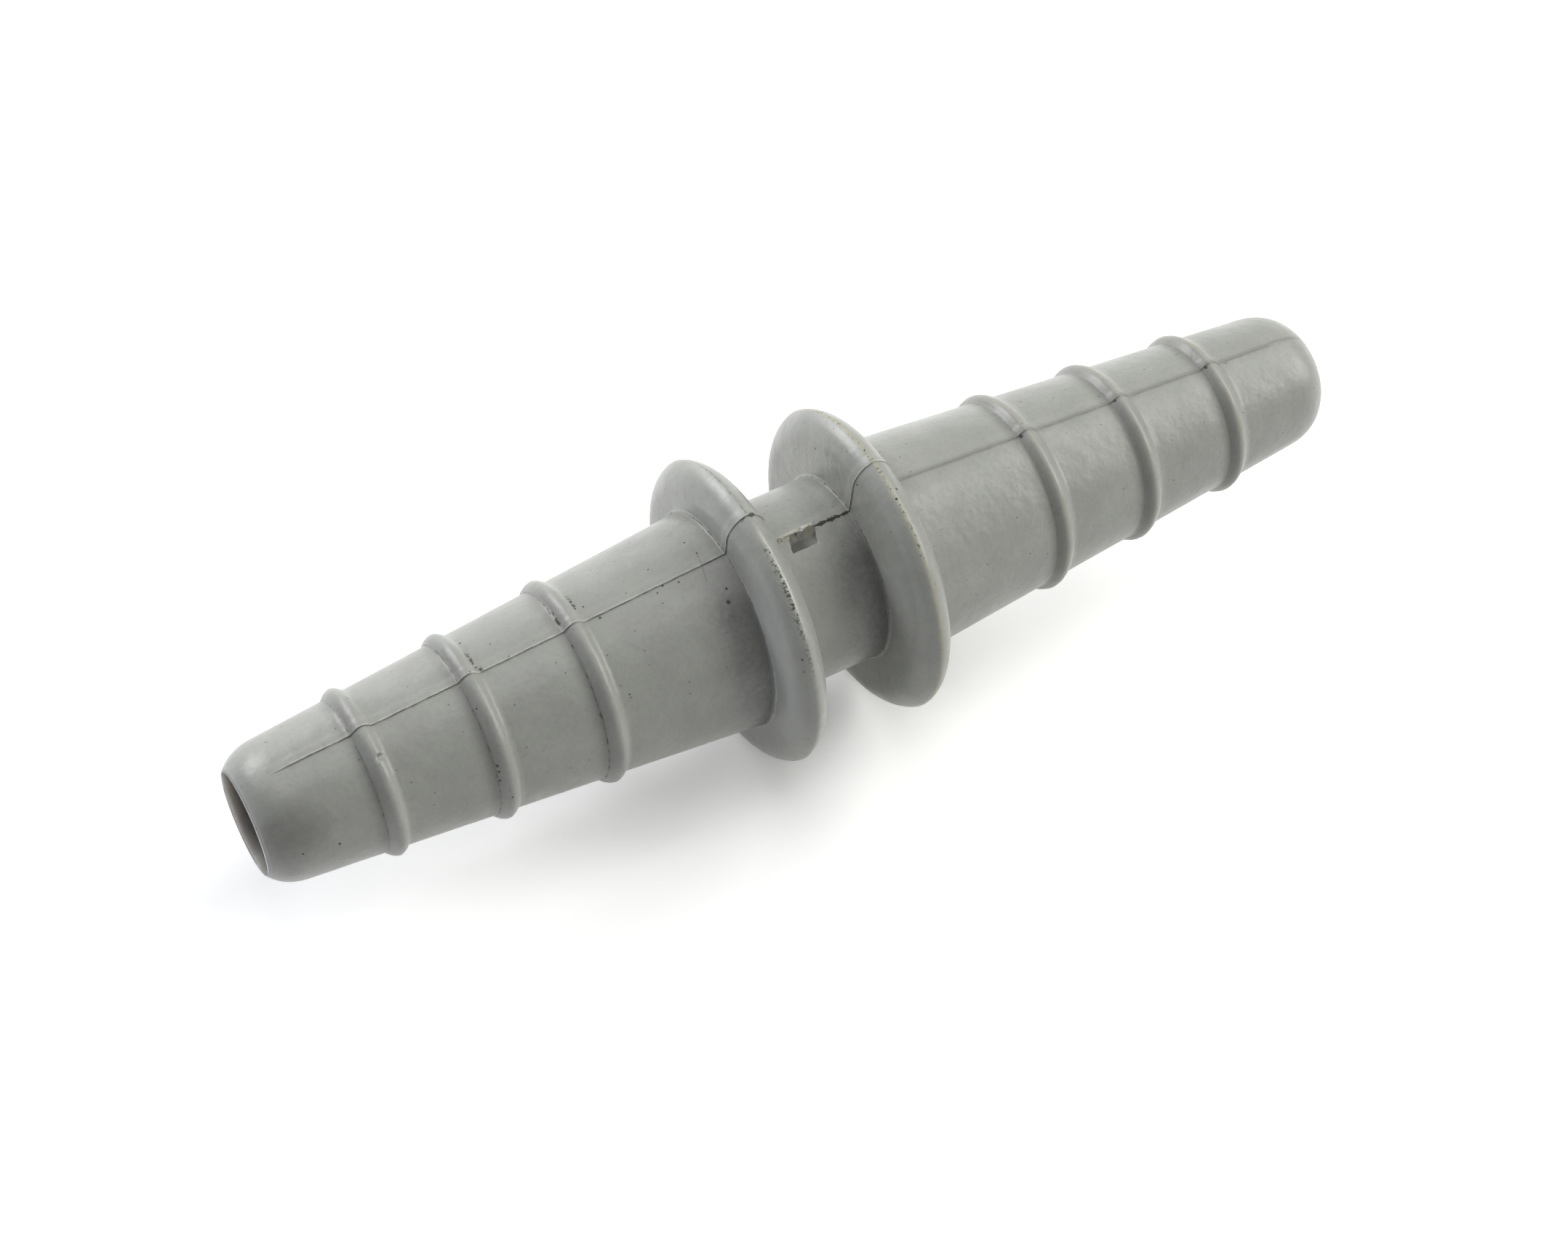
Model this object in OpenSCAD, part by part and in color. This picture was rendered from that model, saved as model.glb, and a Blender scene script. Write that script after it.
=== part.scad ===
/* [Overall] */
// Length from tip to tip
overall_length = 100; // [90:1:140]
// Diameter of the hole that runs right through
bore_d = 8.7; // [6:0.1:9.6]
// Width of the flat ring left round each mouth of the hole
mouth_lip = 0.2; // [0.1:0.05:0.4]

/* [Barbs] */
// Outside diameter that the taper would reach at the very tip
tip_d = 11.4; // [11:0.1:14]
// Outside diameter where the taper meets its flange
root_d = 18.9; // [17:0.1:20]
// Radius that rounds the nose of each barb
nose_round = 4.5; // [1:0.1:6]
// Number of grip rings on each barb
ring_count = 3; // [1:1:3]
// Distance from the tip to the crest of the first ring
first_ring = 10.4; // [7:0.1:12]
// Distance from one ring to the next
ring_pitch = 9.3; // [5:0.1:10]
// Height of a ring's crest above the taper
ring_height = 0.6; // [0.3:0.05:0.9]
// Width of a ring's arch low down, where its two arcs would stand upright
ring_thickness = 2.2; // [1.4:0.1:2.6]
// Radius of the two arcs that meet at a ring's crest
ring_round = 1.4; // [1.3:0.05:2]

/* [Flanges] */
// Diameter of each flange, over its crest
flange_d = 26.8; // [25:0.1:34]
// Thickness of each flange
flange_thickness = 3.4; // [2.4:0.1:4.4]
// Radius of the two arcs that meet at a flange's crest
rim_round = 2.4; // [2.3:0.1:4]

/* [Waist] */
// Diameter of the waist between the two flanges
waist_d = 16.1; // [13:0.1:18]
// Clear length of the waist from flange to flange
waist_length = 8.2; // [6:0.1:14]

/* [Moulding marks] */
// Width of the raised land along the parting line
land_width = 0.9; // [0.4:0.1:1.6]
// Height of that land above the surface round it
land_height = 0.08; // [0.04:0.01:0.2]
// Length of the sunk gate mark on the waist
gate_length = 2.5; // [1:0.1:4]
// Width of the gate mark, which starts at the land's edge
gate_width = 1.5; // [1:0.1:2.4]
// Depth of the gate mark's flat floor below the top of the waist
gate_depth = 0.45; // [0.35:0.05:0.8]
// Distance of the gate mark's middle from the middle of the waist, towards the near tip
gate_offset = 0.45; // [0:0.05:0.9]

/* [Hidden] */
$fn = 96;

half_length = overall_length / 2;
// Length of one barb, from its tip to its flange
barb_length = half_length - waist_length / 2 - flange_thickness;
// How fast the taper's radius grows along the barb
taper_slope = (root_d - tip_d) / 2 / barb_length;
taper_angle = atan(taper_slope);

// Radius of the taper at a distance from the tip
function taper_r(place) = tip_d / 2 + taper_slope * place;

// The nose's arc runs into the taper, so its centre lies on a line at nose_round below the taper.
// A small arc touches the end face. A large one is cut off where it meets the mouth's flat ring.
mouth_r = bore_d / 2 + mouth_lip;
centre_line_r = tip_d / 2 - nose_round / cos(taper_angle);
mouth_drop = mouth_r - centre_line_r;
slope_square = 1 + pow(taper_slope, 2);
drop_along = mouth_drop * taper_slope;
cut_square = pow(drop_along, 2) + slope_square * (pow(nose_round, 2) - pow(mouth_drop, 2));
cut_place = (drop_along + sqrt(max(cut_square, 0))) / slope_square;
arc_touches_end = centre_line_r + taper_slope * nose_round > mouth_r;
nose_place = arc_touches_end ? nose_round : cut_place;
nose_centre_r = centre_line_r + taper_slope * nose_place;
nose_end = nose_place - nose_round * sin(taper_angle);

// How far the cuts into the connector stand out of it
drill_spare = 1;

// Rise of a pointed arch above where its sides stop being straight
function arch_rise(thickness, arc_r) = sqrt(pow(arc_r, 2) - pow(arc_r - thickness / 2, 2));

// Half section of a disc whose rim is two arcs that meet at a crest; grow moves its outline outwards
module rimmed_disc(crest_r, thickness, arc_r, grow) {
    base_r = crest_r - arch_rise(thickness, arc_r);
    half = thickness / 2 + grow;
    translate([0, -half]) square([base_r, 2 * half]);
    intersection() {
        translate([base_r, arc_r - thickness / 2]) circle(r = arc_r + grow);
        translate([base_r, thickness / 2 - arc_r]) circle(r = arc_r + grow);
        translate([base_r, -half]) square([arc_r + grow, 2 * half]);
    }
}

// Half section of a nose, from the tip to where its arc runs into the taper
module nose_section() {
    intersection() {
        union() {
            square([nose_centre_r, nose_end]);
            translate([nose_centre_r, nose_place]) circle(r = nose_round);
        }
        square([tip_d, nose_end]);
    }
}

// Half section of a barb past its nose, with its rings and its flange; the tip is at the origin
module barb_section(grow) {
    polygon([
        [0, nose_end], [taper_r(nose_end) + grow, nose_end],
        [taper_r(barb_length) + grow, barb_length], [0, barb_length],
    ]);
    for (i = [0 : ring_count - 1]) {
        place = first_ring + i * ring_pitch;
        translate([0, place]) rimmed_disc(taper_r(place) + ring_height, ring_thickness, ring_round, grow);
    }
    translate([0, barb_length + flange_thickness / 2])
        rimmed_disc(flange_d / 2, flange_thickness, rim_round, grow);
}

// Places a barb's section at both ends, its tip outwards
module at_both_ends() {
    for (end = [0, 1]) mirror([0, end]) translate([0, -half_length]) children();
}

// Half section of the whole outside between the two noses
module middle_section(grow = 0) {
    at_both_ends() barb_section(grow);
    translate([0, -waist_length / 2]) square([waist_d / 2 + grow, waist_length]);
}

// The raised land that the closed mould left all along the parting line, on both sides
module parting_land() {
    rotate([90, 0, 0]) linear_extrude(height = land_width, center = true) {
        middle_section(land_height);
        mirror([1, 0]) middle_section(land_height);
    }
}

// The pocket where the gate was cut off below the surface, beside the land on the waist
module gate_pocket() {
    translate([waist_d / 2 - gate_depth, -land_width / 2 - gate_width, gate_offset - gate_length / 2])
        cube([gate_depth + drill_spare, gate_width, gate_length]);
}

// Built upright about Z, then laid down: the near tip points along -X and the gate mark faces up
module tube_connector() {
    color([0.57, 0.58, 0.55]) rotate([0, -90, 0]) difference() {
        union() {
            rotate_extrude() middle_section();
            rotate_extrude() at_both_ends() nose_section();
            parting_land();
        }
        gate_pocket();
        translate([0, 0, -half_length - drill_spare])
            cylinder(d = bore_d, h = overall_length + 2 * drill_spare);
    }
}

tube_connector();
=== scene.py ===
"""Looks of the tube connector: one grey moulded piece, ringed barbs back to back with twin flanges."""

from functools import partial
from math import atan, cos, pi, radians, sin, sqrt
from types import SimpleNamespace

import bpy
import numpy as np
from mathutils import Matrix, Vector


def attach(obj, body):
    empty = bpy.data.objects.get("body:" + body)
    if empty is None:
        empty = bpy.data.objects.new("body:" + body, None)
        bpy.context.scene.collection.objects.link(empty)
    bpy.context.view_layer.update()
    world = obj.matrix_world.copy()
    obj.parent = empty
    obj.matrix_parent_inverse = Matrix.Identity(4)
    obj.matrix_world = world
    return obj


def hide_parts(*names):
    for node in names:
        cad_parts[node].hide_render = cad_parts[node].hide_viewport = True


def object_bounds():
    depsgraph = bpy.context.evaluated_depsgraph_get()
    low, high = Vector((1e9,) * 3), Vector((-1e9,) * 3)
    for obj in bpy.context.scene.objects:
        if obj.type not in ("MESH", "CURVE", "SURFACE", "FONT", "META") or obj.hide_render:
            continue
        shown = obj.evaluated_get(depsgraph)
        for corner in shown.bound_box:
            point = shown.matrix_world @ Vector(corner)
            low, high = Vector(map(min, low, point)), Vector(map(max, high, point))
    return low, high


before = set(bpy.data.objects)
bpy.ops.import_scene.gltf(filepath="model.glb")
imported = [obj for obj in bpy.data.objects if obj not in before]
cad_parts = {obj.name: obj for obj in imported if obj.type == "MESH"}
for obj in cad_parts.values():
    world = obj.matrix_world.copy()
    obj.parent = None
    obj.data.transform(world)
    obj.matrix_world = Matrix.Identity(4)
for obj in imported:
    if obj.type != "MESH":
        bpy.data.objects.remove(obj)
CAD_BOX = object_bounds()
MM = 0.001

# Sizes of the moulding, in millimetres
OVERALL_LENGTH = 100.0
BORE_R = 4.35
MOUTH_LIP = 0.2
TIP_R = 5.7
ROOT_R = 9.45
NOSE_ROUND = 4.5
RING_PLACES = (10.4, 19.7, 29.0)
RING_HEIGHT = 0.6
RING_THICKNESS = 2.2
RING_ROUND = 1.4
FLANGE_R = 13.4
FLANGE_THICKNESS = 3.4
RIM_ROUND = 2.4
WAIST_R = 8.05
WAIST_LENGTH = 8.2
LAND_HALF = 0.45
LAND_HEIGHT = 0.08
GATE_FROM, GATE_TO = -1.7, 0.8
GATE_WIDTH = 1.5
GATE_FLOOR = 7.6

HALF_LENGTH = OVERALL_LENGTH / 2
BARB_LENGTH = HALF_LENGTH - WAIST_LENGTH / 2 - FLANGE_THICKNESS
TAPER_SLOPE = (ROOT_R - TIP_R) / BARB_LENGTH
MOUTH_R = BORE_R + MOUTH_LIP
FLANGE_MIDDLE = WAIST_LENGTH / 2 + FLANGE_THICKNESS / 2

# Fineness of the surface: rows run round the section, columns run round the axis
OUTLINE_STEP = 0.01
EDGE_BLUR = 0.05
OUTSIDE_ROWS = 300
GATE_ROWS_REACH = 2.4
LIP_ROWS = 3
# Rows of the hole's wall from each tip inwards, close at the mouth so that its edge stays crisp
BORE_PLACES = (0, 0.03, 0.09, 0.25, 0.7, 1.8, 4.0, 8.0, 15.0, 25.0, 37.0, 50.0)

# What the tree reads at each row of the section and at each column round the axis
ROW_VALUES = (
    "along", "radius", "out_along", "out_radial", "foot_mm", "crest_mm", "foot_side",
    "in_bore", "land_here", "mouth",
)
COLUMN_VALUES = ("turn", "spread", "across", "in_strip")

# What the tree stores on the skin for the material
SKIN_VALUES = (
    "foot_mm", "crest_mm", "foot_side", "in_bore", "seam_mm", "gate_pocket", "torn_lip", "flash",
)

# Studio sizes in metres
FLOOR_HALF = 0.3
SOFTBOX_SIZE = 0.55
SOFTBOX_DISTANCE = 1.0

# Kinds of node that most steps use
MATH = "ShaderNodeMath"
VECTOR = "ShaderNodeVectorMath"
NOISE = "ShaderNodeTexNoise"
RANGE = "ShaderNodeMapRange"
MIX = "ShaderNodeMix"

# A dent in the first ring's crest: place along, angle from the top in degrees, size and depth
NICK_PLACE, NICK_ANGLE, NICK_SIZE, NICK_DEPTH = 10.75, 26.2, 0.45, 0.32

# A smudge on the near nose: distance from the near tip, angle from the top in degrees
SMUDGE = (2.8, 54.0)

# A tool's faint line: where it crosses the top, in millimetres from the middle, its lean along the
# part in millimetres per degree, and the middle and half of its range of angles
LINE_PLACE, LINE_LEAN, LINE_ANGLES = -9.59, 0.0351, (3.35, 8.6)

# Bands along the part, in millimetres from its middle: middle and half of each
THICK_SEAM = (2.4, 1.6)
NEAR_FACE, FAR_FACE = (-6.7, 0.95), (4.95, 0.95)
BEFORE_NEAR_FLANGE, BEFORE_FAR_FLANGE = (-9.9, 2.37), (2.0, 2.07)
NEAR_SHINE, FAR_SHINE = (-6.25, 0.45), (5.35, 0.45)
CREST_SOIL, CREST_FLASH = (-5.98, 0.26), (-5.48, 0.30)

# Specks of dirt on the skin: distance from the near tip, angle from the top in degrees, size
SPECKS = (
    (36.75, 3.4, 0.15), (40.75, 25.6, 0.20), (41.14, 19.1, 0.12), (40.33, -14.9, 0.10),
    (36.54, -9.5, 0.09), (30.46, -6.5, 0.11), (31.10, 4.5, 0.18), (36.09, 5.8, 0.11),
    (38.01, 5.4, 0.11), (5.57, 75.4, 0.13), (2.66, 72.5, 0.10), (20.82, 1.7, 0.24),
    (20.72, -26.4, 0.12), (22.60, -12.6, 0.12), (19.84, 2.1, 0.12),
    (19.03, 23.1, 0.12), (18.97, 59.9, 0.22), (18.95, 64.0, 0.16), (18.92, 70.7, 0.20),
    (19.55, 84.7, 0.12), (70.35, 4.0, 0.22), (79.77, 4.1, 0.18), (89.12, 4.6, 0.17),
    (28.06, -6.5, 0.17), (29.80, -10.8, 0.15), (26.60, 24.8, 0.10), (30.70, 49.6, 0.10),
    (40.59, -5.2, 0.12), (10.75, 25.2, 0.34), (47.60, 3.6, 0.20), (48.95, 2.9, 0.22),
    (49.30, 6.5, 0.20), (43.58, 56.1, 0.11), (43.53, 60.9, 0.09), (56.27, 14.2, 0.14),
    (55.76, 17.7, 0.14), (54.10, -28.6, 0.12), (54.19, 3.7, 0.14),
)

# Rows of crumbs packed into corners: distance from the near tip, middle and half of the angle range
CRUMB_ROWS = ((20.78, -6.5, 8.5), (28.08, -8.0, 7.0), (29.88, -13.0, 6.0))


def add_node(tree, kind, inputs=(), **settings):
    """Adds a node; inputs go by name or by place, and a node given as one means its first output."""
    node = tree.nodes.new(kind)
    for name, value in settings.items():
        setattr(node, name, value)
    pairs = inputs.items() if isinstance(inputs, dict) else enumerate(inputs)
    for key, value in pairs:
        if value is None:
            continue
        if isinstance(value, bpy.types.Node):
            value = value.outputs[0]
        if isinstance(value, bpy.types.NodeSocket):
            tree.links.new(value, node.inputs[key])
        else:
            node.inputs[key].default_value = value
    return node


def linear(hex_colour):
    """sRGB hex to the linear colour that a shader takes."""
    shares = [int(hex_colour[place : place + 2], 16) / 255 for place in (1, 3, 5)]
    curve = [s / 12.92 if s <= 0.04045 else ((s + 0.055) / 1.055) ** 2.4 for s in shares]
    return (*curve, 1.0)


def arch_r(off, crest_r, thickness, arc_r):
    """Radius of a rim whose two arcs meet at a crest, at a distance off its middle; 0 beside it."""
    base_r = crest_r - sqrt(arc_r**2 - (arc_r - thickness / 2) ** 2)
    under = arc_r**2 - (abs(off) + arc_r - thickness / 2) ** 2
    return base_r + sqrt(max(under, 0)) if abs(off) <= thickness / 2 else 0.0


def nose_values():
    """Where the nose's arc has its centre, and where it runs into the taper."""
    lean = atan(TAPER_SLOPE)
    line_r = TIP_R - NOSE_ROUND / cos(lean)
    drop = MOUTH_R - line_r
    square = 1 + TAPER_SLOPE**2
    cut = (drop * TAPER_SLOPE) ** 2 + square * (NOSE_ROUND**2 - drop**2)
    place = (drop * TAPER_SLOPE + sqrt(cut)) / square
    return place, line_r + TAPER_SLOPE * place, place - NOSE_ROUND * sin(lean)


NOSE_PLACE, NOSE_CENTRE_R, NOSE_END = nose_values()


def outside_r(place):
    """Outside radius at a distance from the near tip, the same from the far one."""
    place = min(place, OVERALL_LENGTH - place)
    if place < NOSE_END:
        return NOSE_CENTRE_R + sqrt(max(NOSE_ROUND**2 - (NOSE_PLACE - place) ** 2, 0))
    body_r = TIP_R + TAPER_SLOPE * place if place <= BARB_LENGTH else WAIST_R
    rims = [
        arch_r(place - ring, TIP_R + TAPER_SLOPE * ring + RING_HEIGHT, RING_THICKNESS, RING_ROUND)
        for ring in RING_PLACES
    ]
    middle = BARB_LENGTH + FLANGE_THICKNESS / 2
    rims.append(arch_r(place - middle, FLANGE_R, FLANGE_THICKNESS, RIM_ROUND))
    return max(body_r, *rims)


def on_skin(place, angle):
    """Point of the skin, in millimetres, at a distance from the near tip and an angle from the top."""
    turned, radius = radians(angle), outside_r(place)
    return (place - HALF_LENGTH, -radius * sin(turned), radius * cos(turned))


def even_steps(points, step):
    """The same line with points at even steps along it."""
    along = np.concatenate([[0], np.cumsum(np.hypot(*np.diff(points, axis=0).T))])
    count = int(round(along[-1] / step)) + 1
    marks = np.linspace(0, along[-1], count)
    return np.column_stack([np.interp(marks, along, points[:, i]) for i in (0, 1)]), marks


def blurred(values, sigma):
    """Gaussian blur along the line; the ends stay put."""
    reach = int(4 * sigma / OUTLINE_STEP)
    weights = np.exp(-0.5 * (np.arange(-reach, reach + 1) * OUTLINE_STEP / sigma) ** 2)
    padded = np.concatenate([
        2 * values[0] - values[reach:0:-1], values, 2 * values[-1] - values[-2 : -reach - 2 : -1]
    ])
    return np.convolve(padded, weights / weights.sum(), "valid")


def outside_rows():
    """Rows of the outside from near tip to far tip.

    Each gives place, radius, outward, distances from the nearest corner and crest, and whether that
    corner faces the near tip.
    """
    places = np.arange(0, OVERALL_LENGTH + OUTLINE_STEP / 2, OUTLINE_STEP)
    raw = np.array([(p, outside_r(p)) for p in places])
    line, marks = even_steps(raw, OUTLINE_STEP)
    line = np.column_stack([blurred(line[:, i], EDGE_BLUR) for i in (0, 1)])
    way = np.gradient(line, axis=0)
    way /= np.hypot(*way.T)[:, None]
    outward = np.column_stack([-way[:, 1], way[:, 0]])
    bend = np.gradient(np.unwrap(np.arctan2(way[:, 1], way[:, 0]))) / OUTLINE_STEP

    # A corner or a crest is where the outline bends most within a short reach
    sharp, reach = 2, 9
    inner = range(reach, len(bend) - reach)
    feet = [i for i in inner if bend[i] > sharp and bend[i] == bend[i - reach : i + reach + 1].max()]
    crests = [i for i in inner if bend[i] < -sharp and bend[i] == bend[i - reach : i + reach + 1].min()]
    foot_mm = np.abs(marks[:, None] - marks[feet][None, :]).min(axis=1)
    crest_mm = np.abs(marks[:, None] - marks[crests][None, :]).min(axis=1)
    nearest = np.abs(marks[:, None] - marks[feet][None, :]).argmin(axis=1)
    gaps = marks[crests][None, :] - marks[feet][:, None]
    ahead = [row[np.abs(row).argmin()] > 0 for row in gaps]
    foot_side = np.array(ahead, float)[nearest]

    # Rows lie closer where the outline bends, and closest round the gate
    near_gate = np.abs(line[:, 0] - HALF_LENGTH - (GATE_FROM + GATE_TO) / 2) < GATE_ROWS_REACH
    density = 1.2 + 0.9 * np.sqrt(blurred(np.abs(bend), 0.06)) + 6.0 * near_gate
    share = np.concatenate([[0], np.cumsum((density[1:] + density[:-1]) / 2)])
    picks = np.interp(np.linspace(0, share[-1], OUTSIDE_ROWS), share, np.arange(len(marks)))
    columns = [line[:, 0], line[:, 1], outward[:, 0], outward[:, 1], foot_mm, crest_mm, foot_side]
    return np.column_stack([np.interp(picks, np.arange(len(marks)), c) for c in columns])


def section_rows():
    """The closed section: bore from near to far, far lip, outside back to the near tip, near lip."""
    far_off = 9.0
    places = [*BORE_PLACES, *(OVERALL_LENGTH - p for p in BORE_PLACES[-2::-1])]
    bore = [(place, BORE_R, 0, -1, far_off, far_off, 0) for place in places]
    lip = np.linspace(BORE_R, MOUTH_R, LIP_ROWS + 1)[1:-1]
    far_lip = [(OVERALL_LENGTH, r, 1, 0, far_off, far_off, 0) for r in lip]
    near_lip = [(0, r, -1, 0, far_off, far_off, 0) for r in lip[::-1]]
    rows = np.array([*bore, *far_lip, *outside_rows()[::-1], *near_lip, bore[0]])
    inside = np.zeros(len(rows))
    inside[: len(bore)] = 1
    inside[-1] = 1
    from_tip = np.minimum(rows[:, 0], OVERALL_LENGTH - rows[:, 0])
    land_here = np.clip((from_tip - NOSE_END) / 1.2, 0, 1) * (1 - inside)
    mouth = np.clip(1 - from_tip / 0.9, 0, 1)
    lengths = [(rows[:, 0] - HALF_LENGTH) * MM, rows[:, 1] * MM]
    return np.column_stack([*lengths, rows[:, 2:], inside, land_here, mouth])


def round_columns():
    """Columns once round the axis, from the middle of the top land over the front and back again.

    A column's angle is turn + spread * (angle of the land's strip) + asin(across / radius).
    """
    fine = np.array([0, 0.15, 0.27, 0.35, 0.40, 0.43, 0.46, 0.49, 0.54, 0.62])
    strip = np.concatenate([-fine[:0:-1], fine])
    gate_end, front_end = 0.075, 0.27
    gate_share = np.linspace(0, gate_end, 17)
    front_share = np.linspace(gate_end, front_end, 45)
    side = np.concatenate([gate_share, front_share[1:], np.linspace(front_end, 1, 66)[1:]])
    back_side = np.linspace(0, 1, 112)
    middle = len(fine) - 1
    columns = [(0, 0, a, 1) for a in strip[middle:]]
    columns += [(s * pi, 1 - 2 * s, 0, 0) for s in side[1:-1]]
    columns += [(pi, 0, a, 1) for a in strip]
    columns += [(pi + s * pi, 1 - 2 * s, 0, 0) for s in back_side[1:-1]]
    columns += [(2 * pi, 0, a, 1) for a in strip[: middle + 1]]
    columns = np.array(columns)
    columns[:, 2] *= MM
    return columns, strip[-1] * MM


def carrier(name, names, values):
    """A loose row of points that carries numbers into a geometry tree."""
    mesh = bpy.data.meshes.new(name)
    mesh.from_pydata([(0, 0, 0)] * len(values), [], [])
    for i, attribute in enumerate(names):
        layer = mesh.attributes.new(attribute, "FLOAT", "POINT")
        layer.data.foreach_set("value", np.asarray(values[:, i], np.float32))
    piece = bpy.data.objects.new(name, mesh)
    bpy.context.scene.collection.objects.link(piece)
    return piece


def surface_tree(material):
    """Geometry tree of the connector's skin: a grid laid round the axis along the closed section."""
    tree = bpy.data.node_groups.new("moulded skin", "GeometryNodeTree")
    for kind, names in (
        ("NodeSocketObject", ("Section", "Round")),
        ("NodeSocketInt", ("Rows", "Columns")),
        ("NodeSocketFloat", ("Strip half", "Land half", "Land height", "Edge ramp", "Edge wander")),
        ("NodeSocketFloat", ("Wobble", "Mouth wave", "Nick size", "Nick depth", "Crest flash")),
        ("NodeSocketFloat", ("Gate from", "Gate to", "Gate width", "Gate floor", "Gate wall")),
        ("NodeSocketFloat", ("Gate ragged", "Torn lip", "Seed")),
        ("NodeSocketVector", ("Nick place",)),
    ):
        for name in names:
            tree.interface.new_socket(name, in_out="INPUT", socket_type=kind)
    tree.interface.new_socket("Geometry", in_out="OUTPUT", socket_type="NodeSocketGeometry")
    given = tree.nodes.new("NodeGroupInput").outputs
    add = partial(add_node, tree)
    seed = given["Seed"]

    # A grid point's number gives its row of the section and its column round the axis
    grid = add("GeometryNodeMeshGrid", {"Vertices X": given["Rows"], "Vertices Y": given["Columns"]})
    number = add("GeometryNodeInputIndex")
    row = add("FunctionNodeIntegerMath", [number, given["Columns"]], operation="DIVIDE_FLOOR")
    column = add("FunctionNodeIntegerMath", [number, given["Columns"]], operation="MODULO")
    read = {}
    for source, place, names in (("Section", row, ROW_VALUES), ("Round", column, COLUMN_VALUES)):
        shape = add("GeometryNodeObjectInfo", [given[source]]).outputs["Geometry"]
        for name in names:
            value = add("GeometryNodeInputNamedAttribute", {"Name": name}, data_type="FLOAT")
            read[name] = add("GeometryNodeSampleIndex", [shape, value, place], data_type="FLOAT")

    # Angle round the axis, with a slow wander of the land's edges along the part
    share = add(MATH, [given["Strip half"], read["radius"]], operation="DIVIDE")
    strip_angle = add(MATH, [share], operation="ARCSINE")
    side_angle = add(MATH, [read["spread"], strip_angle, read["turn"]], operation="MULTIPLY_ADD")
    moved = add(MATH, [read["along"], seed], operation="ADD")
    wave = add(NOISE, {"W": moved, "Scale": 900.0, "Detail": 3.0}, noise_dimensions="1D")
    swing = add(MATH, [wave, 0.5], operation="SUBTRACT")
    swing = add(MATH, [swing, given["Edge wander"]], operation="MULTIPLY")
    edge_y = add(MATH, [swing, read["in_strip"], read["across"]], operation="MULTIPLY_ADD")
    share = add(MATH, [edge_y, read["radius"]], operation="DIVIDE")
    across_angle = add(MATH, [share], operation="ARCSINE")
    angle = add(MATH, [side_angle, across_angle], operation="ADD")
    sine = add(MATH, [angle], operation="SINE")
    cosine = add(MATH, [angle], operation="COSINE")

    # The land stands on the round skin, highest at its short front ramp and sloping away behind
    half_ramp = add(MATH, [given["Edge ramp"], 0.5], operation="MULTIPLY")
    crisp = add(RANGE, {
        "Value": read["across"],
        "From Min": add(MATH, [given["Land half"], half_ramp], operation="ADD"),
        "From Max": add(MATH, [given["Land half"], half_ramp], operation="SUBTRACT"),
    }, interpolation_type="SMOOTHSTEP")
    soft = add(RANGE, {
        "Value": read["across"], "From Max": add(MATH, [given["Land half"], -0.2], operation="MULTIPLY"),
        "From Min": add(MATH, [given["Strip half"], -1.0], operation="MULTIPLY"),
    }, interpolation_type="SMOOTHSTEP")
    land = add(MATH, [crisp, soft], operation="MINIMUM")
    land = add(MATH, [land, read["in_strip"]], operation="MULTIPLY")
    land = add(MATH, [land, read["land_here"]], operation="MULTIPLY")
    tilt = add(RANGE, {
        "Value": read["across"], "From Max": given["Land half"], "To Min": 0.30,
        "From Min": add(MATH, [given["Land half"], -1.0], operation="MULTIPLY"),
    })
    lift = add(MATH, [land, given["Land height"]], operation="MULTIPLY")
    lift = add(MATH, [lift, tilt], operation="MULTIPLY")
    top = add(MATH, [cosine], operation="SIGN")
    round_z = add(MATH, [read["radius"], cosine], operation="MULTIPLY")
    flat_z = add(MATH, [read["radius"], top], operation="MULTIPLY")
    skin_z = add(MIX, {0: land, 2: round_z, 3: flat_z}, data_type="FLOAT")
    minus_sine = add(MATH, [sine, -1.0], operation="MULTIPLY")
    skin_y = add(MATH, [read["radius"], minus_sine], operation="MULTIPLY")
    skin = add("ShaderNodeCombineXYZ", [read["along"], skin_y, skin_z])
    upright = add(MATH, [read["out_radial"], top], operation="MULTIPLY")
    upward = add("ShaderNodeCombineXYZ", [read["out_along"], 0.0, upright])
    lifted = add(VECTOR, [upward, None, None, lift], operation="SCALE")
    skin = add(VECTOR, [skin, lifted], operation="ADD")
    normal_y = add(MATH, [read["out_radial"], minus_sine], operation="MULTIPLY")
    normal_z = add(MATH, [read["out_radial"], cosine], operation="MULTIPLY")
    normal = add("ShaderNodeCombineXYZ", [read["out_along"], normal_y, normal_z])

    # A moulded skin is never quite even: it sinks a little, and a little more round the mouths
    swell = add(NOISE, {"Vector": skin, "W": seed, "Scale": 260.0, "Detail": 2.0}, noise_dimensions="4D")
    swell = add(MATH, [swell, 1.0], operation="SUBTRACT")
    depth = add(MATH, [read["mouth"], given["Mouth wave"], given["Wobble"]], operation="MULTIPLY_ADD")
    sink = add(MATH, [swell, depth], operation="MULTIPLY")

    # The nick: a short dent across the first ring's crest
    away = add(VECTOR, [skin, given["Nick place"]], operation="DISTANCE").outputs["Value"]
    nick = add(RANGE, {
        "Value": away, "From Min": given["Nick size"], "From Max": 0.0,
        "To Max": add(MATH, [given["Nick depth"], -1.0], operation="MULTIPLY"),
    }, interpolation_type="SMOOTHSTEP")
    sink = add(MATH, [sink, nick], operation="ADD")

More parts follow.
